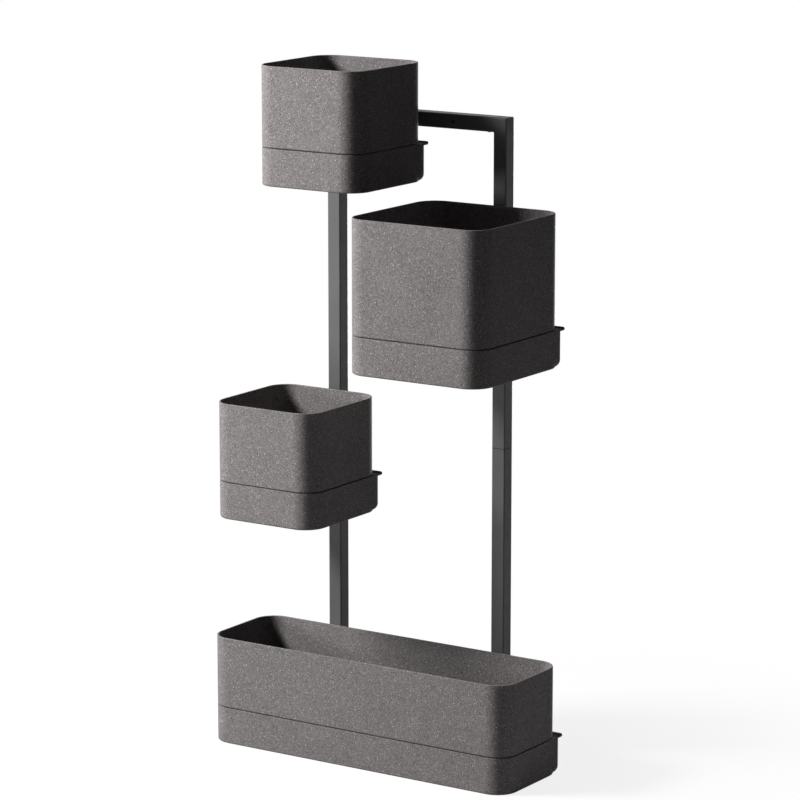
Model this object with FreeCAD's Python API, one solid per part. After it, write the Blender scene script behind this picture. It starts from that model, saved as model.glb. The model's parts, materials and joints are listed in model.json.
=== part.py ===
"""Floor-standing plant rack: a long planter, a square-tube frame behind it and three hung planters.

Every planter is a pot nested in a water tray, with a separator plate and wick cups as the pot's floor.
The tray's rear rail hooks onto clamps on the posts, or onto hangers over the cross bar.
Millimetres, +Z up, origin on the floor under the middle of the long planter, -Y towards the viewer.
"""

import FreeCAD, Part
import os
from math import cos, pi, sin

V = FreeCAD.Vector
X_AXIS = V(1, 0, 0)
Y_AXIS = V(0, 1, 0)
Z_AXIS = V(0, 0, 1)

# Planter sizes: width, depth, height
LONG_SIZE = (600.0, 178.0, 187.0)
SMALL_SIZE = (207.0, 207.0, 199.0)
LARGE_SIZE = (263.0, 255.0, 256.0)

# How far a cutting or joining block runs past a face
CUT = 1.0

# Where the planters hang: middle of the width, height of the tray's underside
POST_X = 166.0
LEFT_PLACE = (-POST_X, 405.0)
RIGHT_PLACE = (POST_X, 692.0)
TOP_PLACE = (-73.0, 979.0)

# Plane of every pot's back wall, and the gap from there to the posts
POT_BACK = LONG_SIZE[1] / 2
REAR_GAP = 11.2

# Moulded shells
WALL = 3.0
TRAY_WALL = 4.0
CORNER = 38.0
TRAY_HEIGHT = 64.0
SHADOW_GAP = 2.4
SHADOW_DEPTH = 3.2
SEAT_CLEARANCE = 0.3
SEAT_THICK = 4.0
RIM_ROUND = 1.2
SKIRT_ROUND = 0.6
TRAY_FOOT_ROUND = 3.0

# The pot's lower part, which stands inside the tray
INSERT_INSET = 4.5
LEDGE_TOP = 27.0
LEDGE_DEPTH = 9.0
INSERT_ROUND = 2.5

# Separator plate that lies on the pot's ledge and carries the soil
PLATE_PLAY = 0.5
PLATE_THICK = 2.5
RIB_DEPTH = 2.5
RIB_WIDTH = 2.0
DRAIN_R = 3.0

# Hollow wick cups that hang in the plate and draw water up from the tray
CUP_PITCH = 100.0
CUP_TOP_R = 17.0
CUP_TIP_R = 15.0
CUP_WALL = 2.0
CUP_BOTTOM = 3.8
CUP_PLAY = 0.2
FLANGE_R = 20.0
FLANGE_THICK = 1.5
CUP_SLOTS = 4
SLOT_TURN = 45.0
SLOT_WIDTH = 3.0
SLOT_TOP = 20.0
CUP_HOLE_R = 4.0

# The tray's rear, which stands a little behind the pot, and its hook rail
BACK_STEP = 3.0
BACK_FOOT_ROUND = 12.0
REAR_CORNER = 17.0
RAIL_THICK = 6.0
RAIL_DEPTH = 8.1
RAIL_FRONT = 0.6
RAIL_CORNER = 5.0
RAIL_ROUND = 2.8
RAIL_LIP = 2.0
RAIL_HOOK = 7.7
RAIL_END = 25.0
OVERFLOW_R = 3.0
OVERFLOW_Z = 21.0
OVERFLOW_INSET = 40.0

# Frame of square tube
TUBE = 25.0
TUBE_WALL = 1.5
TUBE_ROUND = 2.0
BAR_TOP = 1092.0
JOINT_Z = 536.0
JOINT_COLLAR = 1.0
PLUG_PLAY = 0.1
SLEEVE_REACH = 50.0
SLEEVE_WALL = 2.0
SLEEVE_BORE_ROUND = 1.0
ELBOW_REACH = 30.0
ELBOW_ROUND = 2.5
FOOT_PAD = 4.0
FOOT_REACH = 26.0
WALL_HOLE_R = 2.6
WALL_HOLE_X = 75.0

# Screws of the frame
SCREW_R = 1.9
SCREW_PLAY = 0.1
SCREW_LENGTH = 11.0
SCREW_HEAD_R = 3.6
SCREW_HEAD = 2.2
SCREW_HEAD_ROUND = 1.2
SCREW_SOCKET_R = 1.4
SCREW_SOCKET = 1.2
FOOT_SCREW_Z = 12.0
ELBOW_SCREW_REACH = 15.0

# Post clamp: a collar on the post with a hook for the tray's rail
FIT = 0.3
SLIDE_PLAY = 0.25
HOOK_THICK = 2.5
CLAMP_BOTTOM = 18.0
CLAMP_HALF = 26.0
CLAMP_ROUND = 1.5
COLLAR_WALL = 3.25
COLLAR_ROUND = 3.0
BORE_ROUND = 1.5
BOSS_R = 8.0
BOSS_LENGTH = 8.0
STUD_Z = 36.0
STUD_R = 3.0
INSERT_R = 4.5
THREAD_PLAY = 0.05

# Clamp knob
KNOB_GAP = 1.0
KNOB_HUB = 3.0
KNOB_HUB_R = 8.0
KNOB_R = 13.5
KNOB_LENGTH = 13.0
KNOB_ROUND = 2.0
KNOB_GRIPS = 6
GRIP_R = 5.0
GRIP_PITCH_R = 16.2
STUD_IN_KNOB = 12.0

# Hanger over the cross bar
HANGER_WIDTH = 30.0
HANGER_OFFSET = 40.0
HANGER_TAIL = 14.0
HANGER_ROUND = 2.0

# Heights and depths that follow from the sizes above
TRAY_RIM = TRAY_HEIGHT - SHADOW_GAP / 2
SKIRT_BOTTOM = TRAY_HEIGHT + SHADOW_GAP / 2
RAIL_TOP = SKIRT_BOTTOM
RAIL_UNDER = RAIL_TOP - RAIL_THICK
LIP_BOTTOM = RAIL_UNDER - RAIL_HOOK
HOOK_TOP = RAIL_UNDER - FIT
HOOK_FLOOR = LIP_BOTTOM - 2 * FIT
HOOK_FRONT = BACK_STEP + FIT
PLATE_FRONT = RAIL_DEPTH + FIT
POST_FRONT = POT_BACK + REAR_GAP
POST_Y = POST_FRONT + TUBE / 2
POST_BACK = POST_FRONT + TUBE
BAR_UNDER = BAR_TOP - TUBE
BAR_Z = BAR_TOP - TUBE / 2
BAR_END = POST_X - TUBE / 2
PLUG = TUBE - 2 * TUBE_WALL - 2 * PLUG_PLAY
SIDES = {"left": -1, "right": 1}


def block(x0, x1, y0, y1, z0, z1):
    return Part.makeBox(x1 - x0, y1 - y0, z1 - z0, V(x0, y0, z0))


def fuse(shapes):
    first, *rest = shapes
    return first.fuse(rest).removeSplitter()


def cylinder(radius, start, direction, length):
    return Part.makeCylinder(radius, length, start, direction)


def edges_along(shape, axis):
    """Straight edges parallel to an axis."""
    found = []
    for edge in shape.Edges:
        if not isinstance(edge.Curve, Part.Line):
            continue
        run = edge.Vertexes[1].Point.sub(edge.Vertexes[0].Point)
        if abs(abs(run.normalize().dot(axis)) - 1) < 1e-6:
            found.append(edge)
    return found


def edges_at_height(shape, z):
    return [e for e in shape.Edges if abs(e.BoundBox.ZMin - z) < 1e-6 and abs(e.BoundBox.ZMax - z) < 1e-6]


def rear_edges(shape):
    """Upright edges in the rear half."""
    middle = shape.BoundBox.Center.y
    return [e for e in edges_along(shape, Z_AXIS) if e.BoundBox.YMin > middle]


def rounded_block(size, inset, z0, z1, bottom_round=0.0, top_round=0.0, back=0.0):
    """Upright block with rounded corners; its back lies on Y = back, less the inset."""
    width, depth, _ = size
    half = width / 2 - inset
    shape = block(-half, half, -depth + inset, back - inset, z0, z1)
    shape = shape.makeFillet(CORNER - inset, edges_along(shape, Z_AXIS))
    if bottom_round:
        shape = shape.makeFillet(bottom_round, edges_at_height(shape, z0))
    if top_round:
        shape = shape.makeFillet(top_round, edges_at_height(shape, z1))
    return shape


def rounded_bar(width, depth, x, y, z0, z1, radius):
    """Upright square bar with rounded long edges, centred on x and y."""
    shape = block(x - width / 2, x + width / 2, y - depth / 2, y + depth / 2, z0, z1)
    return shape.makeFillet(radius, edges_along(shape, Z_AXIS))


def cup_centres(size):
    """Wick cups in even rows, about one cup pitch apart."""
    width, depth, _ = size
    across = round(width / CUP_PITCH)
    deep = round(depth / CUP_PITCH)
    xs = [(i + 0.5) * width / across - width / 2 for i in range(across)]
    ys = [-depth + (j + 0.5) * depth / deep for j in range(deep)]
    return xs, ys


def midpoints(values):
    return [(a + b) / 2 for a, b in zip(values, values[1:])]


def pot(size):
    """Pot wall: its skirt is flush with the tray, and its lower part stands inside it and ends in a ledge."""
    height = size[2]
    seat = TRAY_RIM + SEAT_CLEARANCE
    shelf = seat + SEAT_THICK
    ledge_bottom = LEDGE_TOP - WALL
    inside = INSERT_INSET + WALL
    body = fuse([
        rounded_block(size, 0, SKIRT_BOTTOM, height, bottom_round=SKIRT_ROUND),
        rounded_block(size, SHADOW_DEPTH, seat, shelf),
        rounded_block(size, INSERT_INSET, ledge_bottom, shelf, bottom_round=INSERT_ROUND),
    ])
    body = body.cut(rounded_block(size, WALL, shelf, height + CUT))
    body = body.cut(rounded_block(size, inside, LEDGE_TOP, shelf + CUT))
    body = body.cut(rounded_block(size, inside + LEDGE_DEPTH, ledge_bottom - CUT, LEDGE_TOP + CUT))
    return body.makeFillet(RIM_ROUND, edges_at_height(body, height))


def separator(size):
    """Plate on the pot's ledge, with holes for the wick cups, drain holes and ribs underneath."""
    xs, ys = cup_centres(size)
    plate = rounded_block(size, INSERT_INSET + WALL + PLATE_PLAY, LEDGE_TOP, LEDGE_TOP + PLATE_THICK)
    width, depth, _ = size
    inset = INSERT_INSET + WALL + LEDGE_DEPTH + PLATE_PLAY
    rib_bottom = LEDGE_TOP - RIB_DEPTH
    ribs = []
    for y in midpoints(ys):
        ribs.append(block(inset - width / 2, width / 2 - inset, y - RIB_WIDTH / 2, y + RIB_WIDTH / 2,
                          rib_bottom, LEDGE_TOP))
    for x in midpoints(xs):
        ribs.append(block(x - RIB_WIDTH / 2, x + RIB_WIDTH / 2, inset - depth, -inset, rib_bottom, LEDGE_TOP))
    hole_length = PLATE_THICK + 2 * CUT
    hole_z = LEDGE_TOP - CUT
    holes = [cylinder(CUP_TOP_R + CUP_PLAY, V(x, y, hole_z), Z_AXIS, hole_length) for x in xs for y in ys]
    for y in ys:
        for x in midpoints(xs):
            for side in SIDES.values():
                drain_x = x + side * (RIB_WIDTH + DRAIN_R)
                holes.append(cylinder(DRAIN_R, V(drain_x, y, hole_z), Z_AXIS, hole_length))
    return fuse([plate] + ribs).cut(holes)


def wick_cups(size):
    xs, ys = cup_centres(size)
    cup = wick_cup()
    cups = []
    for x in xs:
        for y in ys:
            moved = cup.copy()
            moved.translate(V(x, y, 0))
            cups.append(moved)
    return Part.makeCompound(cups)


def wick_cup():
    """Slotted cup with a flange that rests on the separator plate."""
    plate_top = LEDGE_TOP + PLATE_THICK
    floor = CUP_BOTTOM + CUP_WALL
    depth = plate_top - CUP_BOTTOM
    cone = Part.makeCone(CUP_TIP_R, CUP_TOP_R, depth, V(0, 0, CUP_BOTTOM))
    flange = cylinder(FLANGE_R, V(0, 0, plate_top), Z_AXIS, FLANGE_THICK)
    hollow = Part.makeCone(CUP_TIP_R - CUP_WALL, CUP_TOP_R - CUP_WALL, plate_top - floor, V(0, 0, floor))
    mouth = cylinder(CUP_TOP_R - CUP_WALL, V(0, 0, plate_top), Z_AXIS, FLANGE_THICK)
    tip_hole = cylinder(CUP_HOLE_R, V(0, 0, 0), Z_AXIS, plate_top)
    slots = []
    for i in range(CUP_SLOTS // 2):
        slot = block(-FLANGE_R, FLANGE_R, -SLOT_WIDTH / 2, SLOT_WIDTH / 2, floor, SLOT_TOP)
        slot.rotate(V(0, 0, 0), Z_AXIS, SLOT_TURN + i * 360 / CUP_SLOTS)
        slots.append(slot)
    return fuse([cone, flange]).cut([hollow, mouth, tip_hole] + slots)


def tray_back(width):
    """Squarer rear corners of the tray, which curve in towards its foot."""
    back = block(-width / 2, width / 2, -CORNER, BACK_STEP, 0, TRAY_RIM)
    back = back.makeFillet(REAR_CORNER, rear_edges(back))
    for z, radius in ((0, BACK_FOOT_ROUND), (TRAY_RIM, SKIRT_ROUND)):
        brims = [e for e in edges_at_height(back, z) if e.BoundBox.YMax > CUT - CORNER]
        back = back.makeFillet(radius, brims)
    return back


def tray_rail(width):
    """Bullnose rail behind the tray; where it runs on beside the tray's corner it is level with the rim."""
    rail = block(-width / 2, width / 2, -REAR_CORNER, RAIL_DEPTH, RAIL_UNDER, RAIL_TOP)
    rail = rail.makeFillet(RAIL_CORNER, rear_edges(rail))
    brims = edges_at_height(rail, RAIL_UNDER) + edges_at_height(rail, RAIL_TOP)
    rail = rail.makeFillet(RAIL_ROUND, [e for e in brims if e.BoundBox.YMax > CUT - REAR_CORNER])
    return rail.cut(block(-width, width, -2 * REAR_CORNER, RAIL_FRONT, TRAY_RIM, RAIL_TOP + CUT))


def tray(size):
    """Water tray with a rail along its rear, whose lip hooks over the clamps or hangers."""
    width = size[0]
    outside = rounded_block(size, 0, 0, TRAY_RIM, TRAY_FOOT_ROUND, SKIRT_ROUND, BACK_STEP)
    inside = rounded_block(size, TRAY_WALL, WALL, TRAY_HEIGHT)
    body = fuse([outside, tray_back(width), tray_rail(width)]).cut(inside)
    lip_half = width / 2 - RAIL_END
    lip = block(-lip_half, lip_half, RAIL_DEPTH - RAIL_LIP, RAIL_DEPTH, LIP_BOTTOM, RAIL_TOP - RAIL_ROUND)
    overflow_x = width / 2 - OVERFLOW_INSET
    overflow_length = TRAY_WALL + BACK_STEP + 2 * CUT
    overflows = [
        cylinder(OVERFLOW_R, V(side * overflow_x, -TRAY_WALL - CUT, OVERFLOW_Z), Y_AXIS, overflow_length)
        for side in SIDES.values()
    ]
    return fuse([body, lip]).cut(overflows)


def placed(shape, x, z):
    """Moves a planter, clamp or hanger from its own frame to its place on the rack."""
    moved = shape.copy()
    moved.translate(V(x, POT_BACK, z))
    return moved


def clamp(side):
    """Collar round a post, with the rail's hook in front and a boss for the stud at the outer side."""
    collar_half = TUBE / 2 + SLIDE_PLAY + COLLAR_WALL
    bore_front = REAR_GAP - SLIDE_PLAY
    bore_back = REAR_GAP + TUBE + SLIDE_PLAY
    bore_half = TUBE / 2 + SLIDE_PLAY
    web_back = PLATE_FRONT + HOOK_THICK
    web = block(-CLAMP_HALF, CLAMP_HALF, HOOK_FRONT, web_back, CLAMP_BOTTOM, HOOK_FLOOR)
    web = web.makeFillet(CLAMP_ROUND, edges_along(web, Z_AXIS))
    tongue = block(-CLAMP_HALF + CLAMP_ROUND, CLAMP_HALF - CLAMP_ROUND, HOOK_FRONT, HOOK_FRONT + HOOK_THICK,
                   HOOK_FLOOR, HOOK_TOP)
    collar = block(-collar_half, collar_half, PLATE_FRONT, bore_back + COLLAR_WALL, CLAMP_BOTTOM, HOOK_TOP)
    back_edges = [e for e in edges_along(collar, Z_AXIS) if e.BoundBox.YMin > bore_back]
    collar = collar.makeFillet(COLLAR_ROUND, back_edges)
    post_y = REAR_GAP + TUBE / 2
    boss = cylinder(BOSS_R, V(side * bore_half, post_y, STUD_Z), V(side, 0, 0), COLLAR_WALL + BOSS_LENGTH)
    bore = block(-bore_half, bore_half, bore_front, bore_back, 0, TRAY_HEIGHT)
    bore = bore.makeFillet(BORE_ROUND, edges_along(bore, Z_AXIS))
    hole_length = collar_half + BOSS_LENGTH + CUT
    stud_hole = cylinder(INSERT_R + THREAD_PLAY, V(0, post_y, STUD_Z), V(side, 0, 0), hole_length)
    return fuse([web, tongue, collar, boss]).cut([bore, stud_hole])


def clamp_insert(side):
    """Threaded brass sleeve in the clamp's boss."""
    start = V(side * (TUBE / 2 + SLIDE_PLAY), REAR_GAP + TUBE / 2, STUD_Z)
    length = COLLAR_WALL + BOSS_LENGTH
    sleeve = cylinder(INSERT_R, start, V(side, 0, 0), length)
    return sleeve.cut(cylinder(STUD_R + THREAD_PLAY, start, V(side, 0, 0), length))


def knob_start():
    """Distance from the post's middle to the knob's inner face."""
    return TUBE / 2 + SLIDE_PLAY + COLLAR_WALL + BOSS_LENGTH + KNOB_GAP


def clamp_stud(side):
    tip = TUBE / 2 + FIT
    length = knob_start() + STUD_IN_KNOB - tip
    return cylinder(STUD_R, V(side * tip, REAR_GAP + TUBE / 2, STUD_Z), V(side, 0, 0), length)


def clamp_knob(side):
    """Scalloped knob on the stud's outer end."""
    axis = V(side, 0, 0)
    post_y = REAR_GAP + TUBE / 2
    inner = knob_start()
    hub = cylinder(KNOB_HUB_R, V(side * inner, post_y, STUD_Z), axis, KNOB_HUB + CUT)
    grip = cylinder(KNOB_R, V(side * (inner + KNOB_HUB), post_y, STUD_Z), axis, KNOB_LENGTH)
    grip = grip.makeFillet(KNOB_ROUND, [e for e in grip.Edges if isinstance(e.Curve, Part.Circle)])
    cuts = []
    for i in range(KNOB_GRIPS):
        turn = 2 * pi * i / KNOB_GRIPS
        y = post_y + GRIP_PITCH_R * cos(turn)
        z = STUD_Z + GRIP_PITCH_R * sin(turn)
        cuts.append(cylinder(GRIP_R, V(side * inner, y, z), axis, KNOB_HUB + KNOB_LENGTH + CUT))
    cuts.append(cylinder(STUD_R + THREAD_PLAY, V(side * inner, post_y, STUD_Z), axis, STUD_IN_KNOB))
    return fuse([hub, grip]).cut(cuts)


def hanger():
    """Steel strip bent over the cross bar, ending in the rail's hook."""
    bar_top = BAR_TOP - TOP_PLACE[1]
    plate_back = PLATE_FRONT + HOOK_THICK
    over_top = bar_top + FIT
    tail_front = REAR_GAP + TUBE + FIT
    outer_top = over_top + HOOK_THICK
    outer_back = tail_front + HOOK_THICK
    hook_bottom = HOOK_FLOOR - HOOK_THICK
    outline = [
        (HOOK_FRONT, hook_bottom),
        (plate_back, hook_bottom),
        (plate_back, over_top),
        (tail_front, over_top),
        (tail_front, bar_top - HANGER_TAIL),
        (outer_back, bar_top - HANGER_TAIL),
        (outer_back, outer_top),
        (PLATE_FRONT, outer_top),
        (PLATE_FRONT, HOOK_FLOOR),
        (HOOK_FRONT + HOOK_THICK, HOOK_FLOOR),
        (HOOK_FRONT + HOOK_THICK, HOOK_TOP),
        (HOOK_FRONT, HOOK_TOP),
    ]
    points = [V(-HANGER_WIDTH / 2, y, z) for y, z in outline]
    strip = Part.Face(Part.makePolygon(points + points[:1])).extrude(X_AXIS * HANGER_WIDTH)
    bends = [
        (HOOK_FRONT, hook_bottom),
        (plate_back, hook_bottom),
        (outer_back, outer_top),
        (PLATE_FRONT, outer_top),
    ]
    return strip.makeFillet(HANGER_ROUND, [e for e in edges_along(strip, X_AXIS) if edge_place(e) in bends])


def edge_place(edge):
    """Y and Z of an edge that runs along X."""
    point = edge.Vertexes[0].Point
    return (round(point.y, 6), round(point.z, 6))


def tube_along_z(x, z0, z1):
    outer = rounded_bar(TUBE, TUBE, x, POST_Y, z0, z1, TUBE_ROUND)
    inside = TUBE - 2 * TUBE_WALL
    return outer.cut(rounded_bar(inside, inside, x, POST_Y, z0, z1, TUBE_ROUND - TUBE_WALL / 2))


def plug_along_z(x, z0, z1):
    """Solid plug that slides into a post."""
    return rounded_bar(PLUG, PLUG, x, POST_Y, z0, z1, TUBE_ROUND)


def lower_post(x):
    screw_hole = cylinder(SCREW_R + SCREW_PLAY, V(x, POST_Y, FOOT_SCREW_Z), Y_AXIS, TUBE)
    return tube_along_z(x, FOOT_PAD, JOINT_Z - JOINT_COLLAR / 2).cut(screw_hole)


def upper_post(x):
    screw_hole = cylinder(SCREW_R + SCREW_PLAY, V(x, POST_Y, BAR_UNDER - ELBOW_SCREW_REACH), Y_AXIS, TUBE)
    return tube_along_z(x, JOINT_Z + JOINT_COLLAR / 2, BAR_UNDER).cut(screw_hole)


def cross_bar():
    """Tube between the elbows, with screw holes underneath and wall holes from front to back."""
    length = 2 * BAR_END
    bar = tube_along_z(0, 0, length)
    bar.translate(V(0, -POST_Y, 0))
    bar.rotate(V(0, 0, 0), Y_AXIS, 90)
    bar.translate(V(-BAR_END, POST_Y, BAR_Z))
    screw_x = BAR_END - ELBOW_SCREW_REACH
    holes = []
    for side in SIDES.values():
        wall_start = V(side * WALL_HOLE_X, POST_FRONT - CUT, BAR_Z)
        screw_start = V(side * screw_x, POST_Y, BAR_UNDER - CUT)
        holes.append(cylinder(WALL_HOLE_R, wall_start, Y_AXIS, TUBE + 2 * CUT))
        holes.append(cylinder(SCREW_R + SCREW_PLAY, screw_start, Z_AXIS, TUBE / 2))
    return bar.cut(holes)


def post_sleeve(x):
    """Inner sleeve of a post joint, with the thin collar that parts the two tubes."""
    half_collar = JOINT_COLLAR / 2
    collar = rounded_bar(TUBE, TUBE, x, POST_Y, JOINT_Z - half_collar, JOINT_Z + half_collar, TUBE_ROUND)
    body = fuse([plug_along_z(x, JOINT_Z - SLEEVE_REACH, JOINT_Z + SLEEVE_REACH), collar])
    inside = PLUG - 2 * SLEEVE_WALL
    return body.cut(rounded_bar(inside, inside, x, POST_Y, 0, BAR_TOP, SLEEVE_BORE_ROUND))


def post_foot(x):
    pad = rounded_bar(TUBE, TUBE, x, POST_Y, 0, FOOT_PAD, TUBE_ROUND)
    body = fuse([pad, plug_along_z(x, FOOT_PAD / 2, FOOT_PAD + FOOT_REACH)])
    return body.cut(cylinder(SCREW_R + SCREW_PLAY / 2, V(x, POST_Y, FOOT_SCREW_Z), Y_AXIS, TUBE))


def elbow(side):
    """Corner block with one plug down into the post and one into the cross bar."""
    x = side * POST_X
    outer_x = x + side * TUBE / 2
    cube = block(x - TUBE / 2, x + TUBE / 2, POST_FRONT, POST_BACK, BAR_UNDER, BAR_TOP)
    rounded = [e for e in edges_along(cube, Z_AXIS) if abs(e.BoundBox.XMin - outer_x) < 1e-6]
    rounded += [e for e in edges_along(cube, X_AXIS) if abs(e.BoundBox.ZMin - BAR_TOP) < 1e-6]
    rounded += [
        e for e in edges_along(cube, Y_AXIS)
        if abs(e.BoundBox.ZMin - BAR_TOP) < 1e-6 and abs(e.BoundBox.XMin - outer_x) < 1e-6
    ]
    cube = cube.makeFillet(ELBOW_ROUND, rounded)
    down = plug_along_z(x, BAR_UNDER - ELBOW_REACH, BAR_UNDER + CUT)
    inner_x = x - side * TUBE / 2
    far_x = inner_x - side * ELBOW_REACH
    low, high = sorted((inner_x + side * CUT, far_x))
    across = block(low, high, POST_Y - PLUG / 2, POST_Y + PLUG / 2, BAR_Z - PLUG / 2, BAR_Z + PLUG / 2)
    across = across.makeFillet(TUBE_ROUND, edges_along(across, X_AXIS))
    pilot = SCREW_R + SCREW_PLAY / 2
    post_screw = cylinder(pilot, V(x, POST_Y, BAR_UNDER - ELBOW_SCREW_REACH), Y_AXIS, TUBE)
    bar_screw_x = inner_x - side * ELBOW_SCREW_REACH
    bar_screw = cylinder(pilot, V(bar_screw_x, POST_Y, BAR_UNDER - CUT), Z_AXIS, TUBE / 2)
    return fuse([cube, down, across]).cut([post_screw, bar_screw])


def screw(surface, outward):
    """Round-head screw with a hex socket; its head sits on the surface point."""
    head = cylinder(SCREW_HEAD_R, V(0, 0, 0), Z_AXIS, SCREW_HEAD)
    head = head.makeFillet(SCREW_HEAD_ROUND, edges_at_height(head, SCREW_HEAD))
    shank = cylinder(SCREW_R, V(0, 0, -SCREW_LENGTH), Z_AXIS, SCREW_LENGTH)
    corners = [
        V(SCREW_SOCKET_R * cos(pi * i / 3), SCREW_SOCKET_R * sin(pi * i / 3), SCREW_HEAD - SCREW_SOCKET)
        for i in range(6)
    ]
    socket = Part.Face(Part.makePolygon(corners + corners[:1])).extrude(Z_AXIS * SCREW_HEAD)
    shape = fuse([head, shank]).cut(socket)
    shape.Placement = FreeCAD.Placement(surface, FreeCAD.Rotation(Z_AXIS, outward))
    return shape


def frame_screws():
    """Screws behind the feet and the post tops, and under the ends of the cross bar."""
    screws = []
    for side in SIDES.values():
        x = side * POST_X
        screws.append(screw(V(x, POST_BACK, FOOT_SCREW_Z), Y_AXIS))
        screws.append(screw(V(x, POST_BACK, BAR_UNDER - ELBOW_SCREW_REACH), Y_AXIS))
        screws.append(screw(V(side * (BAR_END - ELBOW_SCREW_REACH), POST_Y, BAR_UNDER), -Z_AXIS))
    return Part.makeCompound(screws)


def planter_nodes():
    places = {
        "long": (LONG_SIZE, (0.0, 0.0)),
        "left": (SMALL_SIZE, LEFT_PLACE),
        "right": (LARGE_SIZE, RIGHT_PLACE),
        "top": (SMALL_SIZE, TOP_PLACE),
    }
    nodes = {}
    for name, (size, (x, z)) in places.items():
        nodes[name + "_pot"] = placed(pot(size), x, z)
        nodes[name + "_separator"] = placed(separator(size), x, z)
        nodes[name + "_wick_cups"] = placed(wick_cups(size), x, z)
        nodes[name + "_water_tray"] = placed(tray(size), x, z)
    return nodes


def frame_nodes():
    nodes = {"cross_bar": cross_bar(), "frame_screws": frame_screws()}
    for name, side in SIDES.items():
        x = side * POST_X
        nodes[name + "_lower_post"] = lower_post(x)
        nodes[name + "_upper_post"] = upper_post(x)
        nodes[name + "_post_sleeve"] = post_sleeve(x)
        nodes[name + "_post_foot"] = post_foot(x)
        nodes[name + "_corner_elbow"] = elbow(side)
    return nodes


def clamp_nodes():
    """Two clamps hold the long tray to the posts; one clamp carries each of the left and right planters."""
    heights = {
        "base_left": (-1, 0.0),
        "base_right": (1, 0.0),
        "left": (-1, LEFT_PLACE[1]),
        "right": (1, RIGHT_PLACE[1]),
    }
    nodes = {}
    for name, (side, z) in heights.items():
        x = side * POST_X
        nodes[name + "_clamp"] = placed(clamp(side), x, z)
        nodes[name + "_clamp_insert"] = placed(clamp_insert(side), x, z)
        nodes[name + "_clamp_stud"] = placed(clamp_stud(side), x, z)
        nodes[name + "_clamp_knob"] = placed(clamp_knob(side), x, z)
    for name, side in SIDES.items():
        nodes["top_hanger_" + name] = placed(hanger(), TOP_PLACE[0] + side * HANGER_OFFSET, TOP_PLACE[1])
    return nodes


os.makedirs("parts", exist_ok=True)
for node, shape in {**planter_nodes(), **frame_nodes(), **clamp_nodes()}.items():
    shape.exportStep("parts/" + node + ".step")
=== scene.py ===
"""Looks of the plant rack: flecked moulded planters on a powder-coated tube frame.

Metres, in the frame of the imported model: +Z up, -Y towards the viewer, origin on the floor.
"""

import json
from math import radians

import bpy
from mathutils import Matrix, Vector

# Camera, as the photograph was taken: angles in degrees, lens in millimetres
CAMERA_PLACE = (3.3027, -4.9387, 1.8194)
CAMERA_TURN = 33.485
CAMERA_PITCH = 11.436
CAMERA_LENS = 163.39
CAMERA_REACH = 100.0

# Studio: lamps are (place, width, height, watts), and point at the middle of the rack
AIM = Vector((0.0, -0.02, 0.58))
LAMPS = {
    "key_lamp": ((-1.98, -1.57, 2.40), 0.8, 0.8, 173.0),
    "low_lamp": ((-2.30, -1.83, 0.75), 0.8, 0.6, 40.0),
    "side_lamp": ((1.00, 0.12, 0.08), 0.4, 0.12, 0.48),
    "top_lamp": ((0.0, 0.35, 2.90), 1.4, 1.0, 3.0),
    "back_lamp": ((-0.60, 3.00, 0.35), 1.4, 0.6, 70.0),
}
WHITE = (1, 1, 1, 1)
AMBIENT = 0.02

# Floor: its shadow shows near the object, and it is white further off
FLOOR_SIZE = 60.0
FLOOR_SEEN = (0.93, 0.93, 0.93, 1)
FLOOR_UNSEEN = (0.30, 0.30, 0.30, 1)
FLOOR_ROUGHNESS = 0.9
FLOOR_NEAR = 0.35
FLOOR_FAR = 1.0
FLOOR_LEAST_WHITE = 0.84

# Noise: the part of its values that is spread over a finish's whole range
NOISE_RANGE = (0.3, 0.7)
TONE_RANGE = (0.35, 0.65)
FINE_DETAIL = 1.0

# Flecked composite: chips are (pitch of their grid, radius, share of the grid's cells with a chip)
CLOUD_SIZE = 0.06
CLOUD_WEIGHT = 0.15
GRAIN_PITCH = 0.0014
GRAIN_WEIGHT = 0.85
CHIP_DARK = (0.0029, 0.00080, 0.65)
CHIP_SAND = (0.0027, 0.00072, 0.65)
CHIP_CREAM = (0.0040, 0.00066, 0.55)
CHIP_SIZES = (0.55, 1.25)
CHIP_STRENGTHS = (0.35, 1.0)
SKIN_SIZE = 0.0011
SKIN_DETAIL = 3.0
SKIN_GRAIN = 0.4
SKIN_DEPTH = 0.0001
COMPOSITE_PATCH = 0.004
COMPOSITE_ROUGHNESS = (0.66, 0.82)
COMPOSITE_GLOSS = 0.05

# Powder coat
COAT_CLOUD_SIZE = 0.12
COAT_CLOUD_WEIGHT = 0.6
COAT_SPECK_SIZE = 0.001
COAT_SPECK_WEIGHT = 0.4
COAT_PEEL_SIZE = 0.0015
COAT_PEEL_DEPTH = 0.00006
COAT_PATCH = 0.03
COAT_ROUGHNESS = (0.42, 0.52)
COAT_GLOSS = 0.14

# Moulded plastic
PLASTIC_GRAIN_SIZE = 0.0007
PLASTIC_GRAIN_DEPTH = 0.00007
PLASTIC_PATCH = 0.01
PLASTIC_ROUGHNESS = (0.48, 0.64)
PLASTIC_GLOSS = 0.4
JOINT_GLOSS = 0.05

# Turned metal: marks are fine noise, drawn out along an axis where the scale is small
MARK_SIZE = 0.0006
MARK_DEPTH = 0.00002
ZINC_MARKS = (1, 1, 1)
BRASS_MARKS = (1, 0.1, 0.1)
METAL_PATCH = 0.004
METAL_ROUGHNESS = (0.26, 0.42)

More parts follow.
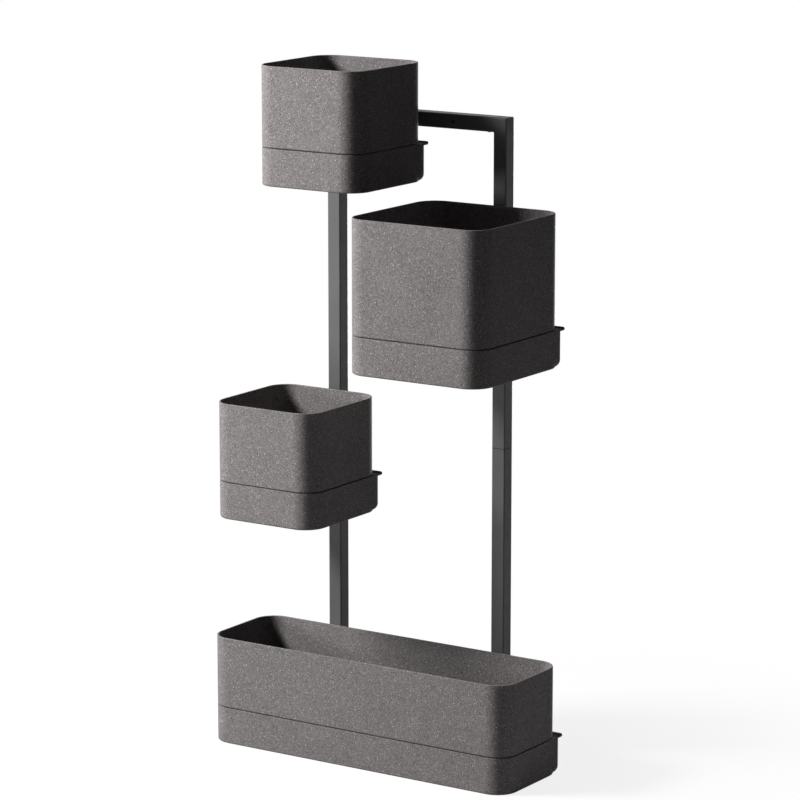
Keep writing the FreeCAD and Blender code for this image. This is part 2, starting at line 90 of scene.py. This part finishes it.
# Colours, linear
COMPOSITE_DARK = (0.112, 0.103, 0.104, 1)
COMPOSITE_LIGHT = (0.216, 0.201, 0.202, 1)
FLECK_SAND = (0.420, 0.386, 0.342, 1)
FLECK_CREAM = (0.53, 0.505, 0.475, 1)
FLECK_DARK = (0.050, 0.046, 0.046, 1)
COAT_DARK = (0.080, 0.080, 0.081, 1)
COAT_LIGHT = (0.105, 0.105, 0.106, 1)
BLACK_DARK = (0.010, 0.010, 0.011, 1)
BLACK_LIGHT = (0.022, 0.022, 0.024, 1)
ZINC_DARK = (0.30, 0.30, 0.31, 1)
ZINC_LIGHT = (0.44, 0.44, 0.45, 1)
BRASS_DARK = (0.50, 0.34, 0.14, 1)
BRASS_LIGHT = (0.72, 0.52, 0.25, 1)


class Finish:
    """A procedural material, with short calls for the nodes that all finishes share."""

    def __init__(self, name):
        self.material = bpy.data.materials.new(name)
        self.material.use_nodes = True
        self.tree = self.material.node_tree
        self.shader = self.tree.nodes["Principled BSDF"]
        self.place = self.tree.nodes.new("ShaderNodeTexCoord").outputs["Object"]

    def link(self, start, end):
        self.tree.links.new(start, end)

    def noise(self, size, detail=2.0, place=None):
        """Cloudy noise whose features are about size metres across."""
        node = self.tree.nodes.new("ShaderNodeTexNoise")
        node.inputs["Scale"].default_value = 1 / size
        node.inputs["Detail"].default_value = detail
        self.link(place or self.place, node.inputs["Vector"])
        return node.outputs["Fac"]

    def stretched(self, scale):
        """The object's coordinates, drawn out along an axis where scale is small."""
        node = self.tree.nodes.new("ShaderNodeMapping")
        node.inputs["Scale"].default_value = scale
        self.link(self.place, node.inputs["Vector"])
        return node.outputs["Vector"]

    def span(self, value, low, high, to_low=0.0, to_high=1.0):
        """Value from low..high carried to to_low..to_high, held at both ends."""
        node = self.tree.nodes.new("ShaderNodeMapRange")
        node.inputs["From Min"].default_value = low
        node.inputs["From Max"].default_value = high
        node.inputs["To Min"].default_value = to_low
        node.inputs["To Max"].default_value = to_high
        self.link(value, node.inputs["Value"])
        return node.outputs["Result"]

    def math(self, operation, a, b):
        """Sum, product or comparison of a and b, each a float or a socket."""
        node = self.tree.nodes.new("ShaderNodeMath")
        node.operation = operation
        for socket, value in zip(node.inputs, (a, b)):
            if isinstance(value, float):
                socket.default_value = value
            else:
                self.link(value, socket)
        return node.outputs["Value"]

    def weighed(self, a, weight_a, b, weight_b):
        """Sum of two values, each times its weight."""
        return self.math("ADD", self.math("MULTIPLY", a, weight_a), self.math("MULTIPLY", b, weight_b))

    def mix(self, amount, a, b):
        """Colour a, turning to b where amount is 1."""
        node = self.tree.nodes.new("ShaderNodeMix")
        node.data_type = "RGBA"
        self.link(amount, node.inputs["Factor"])
        colours = [s for s in node.inputs if s.type == "RGBA"]
        for socket, value in zip(colours, (a, b)):
            if isinstance(value, tuple):
                socket.default_value = value
            else:
                self.link(value, socket)
        return next(s for s in node.outputs if s.type == "RGBA")

    def cells(self, pitch):
        """Random grid: the distance to each cell's middle, in pitches, and three random values per cell."""
        node = self.tree.nodes.new("ShaderNodeTexVoronoi")
        node.inputs["Scale"].default_value = 1 / pitch
        self.link(self.place, node.inputs["Vector"])
        dice = self.tree.nodes.new("ShaderNodeTexWhiteNoise")
        self.link(node.outputs["Color"], dice.inputs["Vector"])
        split = self.tree.nodes.new("ShaderNodeSeparateColor")
        self.link(dice.outputs["Color"], split.inputs["Color"])
        return node.outputs["Distance"], split.outputs

    def flecks(self, pitch, radius, share):
        """Round chips of mixed sizes: a mask with one chip in a share of the cells of a random grid."""
        distance, chance = self.cells(pitch)
        size = self.span(chance["Green"], 0.0, 1.0, *CHIP_SIZES)
        edge = self.math("MULTIPLY", size, radius / pitch)
        inside = self.math("LESS_THAN", distance, edge)
        chosen = self.math("LESS_THAN", chance["Red"], share)
        strength = self.span(chance["Blue"], 0.0, 1.0, *CHIP_STRENGTHS)
        return self.math("MULTIPLY", self.math("MULTIPLY", inside, chosen), strength)

    def bump(self, height, depth):
        """Relief of a height map, depth in metres."""
        node = self.tree.nodes.new("ShaderNodeBump")
        node.inputs["Distance"].default_value = depth
        self.link(height, node.inputs["Height"])
        self.link(node.outputs["Normal"], self.shader.inputs["Normal"])

    def colour(self, value):
        self.link(value, self.shader.inputs["Base Color"])

    def tones(self, value, dark, light):
        """Colour that turns from dark to light with a noise."""
        self.colour(self.mix(self.span(value, *TONE_RANGE), dark, light))

    def roughness(self, patch, low, high):
        """Roughness that varies from low to high over patches of that size."""
        self.link(self.span(self.noise(patch), *NOISE_RANGE, low, high), self.shader.inputs["Roughness"])

    def gloss(self, level):
        self.shader.inputs["Specular IOR Level"].default_value = level


def composite():
    """Moulded plastic filled with ground mineral: grey grains with sand, cream and dark chips."""
    f = Finish("flecked_composite")
    grain = f.cells(GRAIN_PITCH)[1]["Red"]
    clouds = f.span(f.noise(CLOUD_SIZE), *NOISE_RANGE)
    tone = f.weighed(clouds, CLOUD_WEIGHT, grain, GRAIN_WEIGHT)
    flecked = f.mix(tone, COMPOSITE_DARK, COMPOSITE_LIGHT)
    for chip, colour in ((CHIP_DARK, FLECK_DARK), (CHIP_SAND, FLECK_SAND), (CHIP_CREAM, FLECK_CREAM)):
        flecked = f.mix(f.flecks(*chip), flecked, colour)
    f.colour(flecked)
    f.roughness(COMPOSITE_PATCH, *COMPOSITE_ROUGHNESS)
    f.bump(f.weighed(f.noise(SKIN_SIZE, SKIN_DETAIL), 1.0, grain, SKIN_GRAIN), SKIN_DEPTH)
    f.gloss(COMPOSITE_GLOSS)
    return f.material


def powder_coat():
    """Matt powder coat with a fine orange-peel skin."""
    f = Finish("powder_coat")
    clouds = f.noise(COAT_CLOUD_SIZE)
    specks = f.noise(COAT_SPECK_SIZE, FINE_DETAIL)
    f.tones(f.weighed(clouds, COAT_CLOUD_WEIGHT, specks, COAT_SPECK_WEIGHT), COAT_DARK, COAT_LIGHT)
    f.roughness(COAT_PATCH, *COAT_ROUGHNESS)
    f.bump(f.noise(COAT_PEEL_SIZE, FINE_DETAIL), COAT_PEEL_DEPTH)
    f.gloss(COAT_GLOSS)
    return f.material


def moulded_plastic(name, dark=BLACK_DARK, light=BLACK_LIGHT, gloss=PLASTIC_GLOSS):
    """Plain moulded plastic with a spark-eroded grain."""
    f = Finish(name)
    grain = f.noise(PLASTIC_GRAIN_SIZE)
    f.tones(grain, dark, light)
    f.roughness(PLASTIC_PATCH, *PLASTIC_ROUGHNESS)
    f.bump(grain, PLASTIC_GRAIN_DEPTH)
    f.gloss(gloss)
    return f.material


def turned_metal(name, dark, light, scale):
    """Plated or plain turned metal with fine tool marks."""
    f = Finish(name)
    marks = f.noise(MARK_SIZE, place=f.stretched(scale))
    f.tones(marks, dark, light)
    f.roughness(METAL_PATCH, *METAL_ROUGHNESS)
    f.bump(marks, MARK_DEPTH)
    f.shader.inputs["Metallic"].default_value = 1.0
    return f.material


def dress(frame):
    """Gives every CAD node the finish of its material slot."""
    coat = powder_coat()
    flecked = composite()
    finishes = {
        "pot_composite": flecked,
        "tray_composite": flecked,
        "separator_plastic": moulded_plastic("separator_black"),
        "cup_plastic": moulded_plastic("cup_black"),
        "tube_paint": coat,
        "hanger_paint": coat,
        "clamp_paint": coat,
        "elbow_plastic": moulded_plastic("elbow_grey", COAT_DARK, COAT_LIGHT, COAT_GLOSS),
        "joint_plastic": moulded_plastic("joint_black", gloss=JOINT_GLOSS),
        "knob_plastic": moulded_plastic("knob_black"),
        "screw_steel": turned_metal("zinc_plate", ZINC_DARK, ZINC_LIGHT, ZINC_MARKS),
        "insert_brass": turned_metal("brass", BRASS_DARK, BRASS_LIGHT, BRASS_MARKS),
    }
    for part in frame["record"]["subparts"]:
        slots = frame["nodes"][part["node"]].data.materials
        slots.clear()
        slots.append(finishes[part["material_slot"]])


def lamp(name, place, width, height, watts):
    data = bpy.data.lights.new(name, "AREA")
    data.shape = "RECTANGLE"
    data.size = width
    data.size_y = height
    data.energy = watts
    obj = bpy.data.objects.new(name, data)
    obj.location = place
    obj.rotation_euler = (Vector(place) - AIM).to_track_quat("Z", "Y").to_euler()
    obj.visible_camera = False
    bpy.context.scene.collection.objects.link(obj)


def seen_directly(tree):
    """1 for what the camera, a reflection or glass shows, 0 for light on surfaces."""
    path = tree.nodes.new("ShaderNodeLightPath")
    seen = path.outputs["Is Camera Ray"]
    for other in ("Is Glossy Ray", "Is Transmission Ray"):
        node = tree.nodes.new("ShaderNodeMath")
        node.operation = "MAXIMUM"
        tree.links.new(seen, node.inputs[0])
        tree.links.new(path.outputs[other], node.inputs[1])
        seen = node.outputs["Value"]
    return seen


def mixed(tree, amount, shader, other):
    """One shader, turning to the other where amount is 1."""
    node = tree.nodes.new("ShaderNodeMixShader")
    for socket, value in zip(node.inputs, (amount, shader, other)):
        tree.links.new(value, socket)
    return node.outputs["Shader"]


def studio_world():
    """White where it is seen, dim where it lights the object."""
    world = bpy.data.worlds.new("studio")
    world.use_nodes = True
    tree = world.node_tree
    backdrop = tree.nodes["Background"]
    ambient = tree.nodes.new("ShaderNodeBackground")
    for background in (backdrop, ambient):
        background.inputs["Color"].default_value = WHITE
    ambient.inputs["Strength"].default_value = AMBIENT
    surface = mixed(tree, seen_directly(tree), ambient.outputs["Background"], backdrop.outputs["Background"])
    tree.links.new(surface, tree.nodes["World Output"].inputs["Surface"])
    bpy.context.scene.world = world


def floor_material():
    """Pale floor that shows the object's shadow near it and is white further off."""
    f = Finish("studio_floor")
    f.shader.inputs["Base Color"].default_value = FLOOR_SEEN
    f.shader.inputs["Roughness"].default_value = FLOOR_ROUGHNESS
    f.gloss(0.0)
    length = f.tree.nodes.new("ShaderNodeVectorMath")
    length.operation = "LENGTH"
    f.link(f.place, length.inputs[0])
    whiteness = f.span(length.outputs["Value"], FLOOR_NEAR, FLOOR_FAR, FLOOR_LEAST_WHITE)
    white = f.tree.nodes.new("ShaderNodeEmission")
    seen = mixed(f.tree, whiteness, f.shader.outputs["BSDF"], white.outputs["Emission"])
    unseen = f.tree.nodes.new("ShaderNodeBsdfDiffuse")
    unseen.inputs["Color"].default_value = FLOOR_UNSEEN
    floor = mixed(f.tree, seen_directly(f.tree), unseen.outputs["BSDF"], seen)
    f.link(floor, f.tree.nodes["Material Output"].inputs["Surface"])
    return f.material


def studio():
    bpy.ops.mesh.primitive_plane_add(size=FLOOR_SIZE)
    floor = bpy.context.object
    floor.name = "studio_floor"
    floor.data.materials.append(floor_material())
    for name, settings in LAMPS.items():
        lamp(name, *settings)
    studio_world()


def camera():
    data = bpy.data.cameras.new("camera")
    data.lens = CAMERA_LENS
    data.clip_end = CAMERA_REACH
    obj = bpy.data.objects.new("camera", data)
    obj.location = CAMERA_PLACE
    obj.rotation_euler = (radians(90 - CAMERA_PITCH), 0, radians(CAMERA_TURN))
    bpy.context.scene.collection.objects.link(obj)
    bpy.context.scene.camera = obj


with open("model.json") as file:
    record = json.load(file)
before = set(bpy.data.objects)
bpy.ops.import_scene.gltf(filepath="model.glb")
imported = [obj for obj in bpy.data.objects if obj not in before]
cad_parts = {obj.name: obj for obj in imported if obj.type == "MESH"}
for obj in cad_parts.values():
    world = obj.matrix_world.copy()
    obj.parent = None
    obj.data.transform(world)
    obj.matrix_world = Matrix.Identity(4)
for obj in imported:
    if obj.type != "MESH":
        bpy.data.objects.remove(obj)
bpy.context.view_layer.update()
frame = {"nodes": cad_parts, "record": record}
bpy.context.scene.view_settings.view_transform = "Standard"
camera()
studio()
dress(frame)
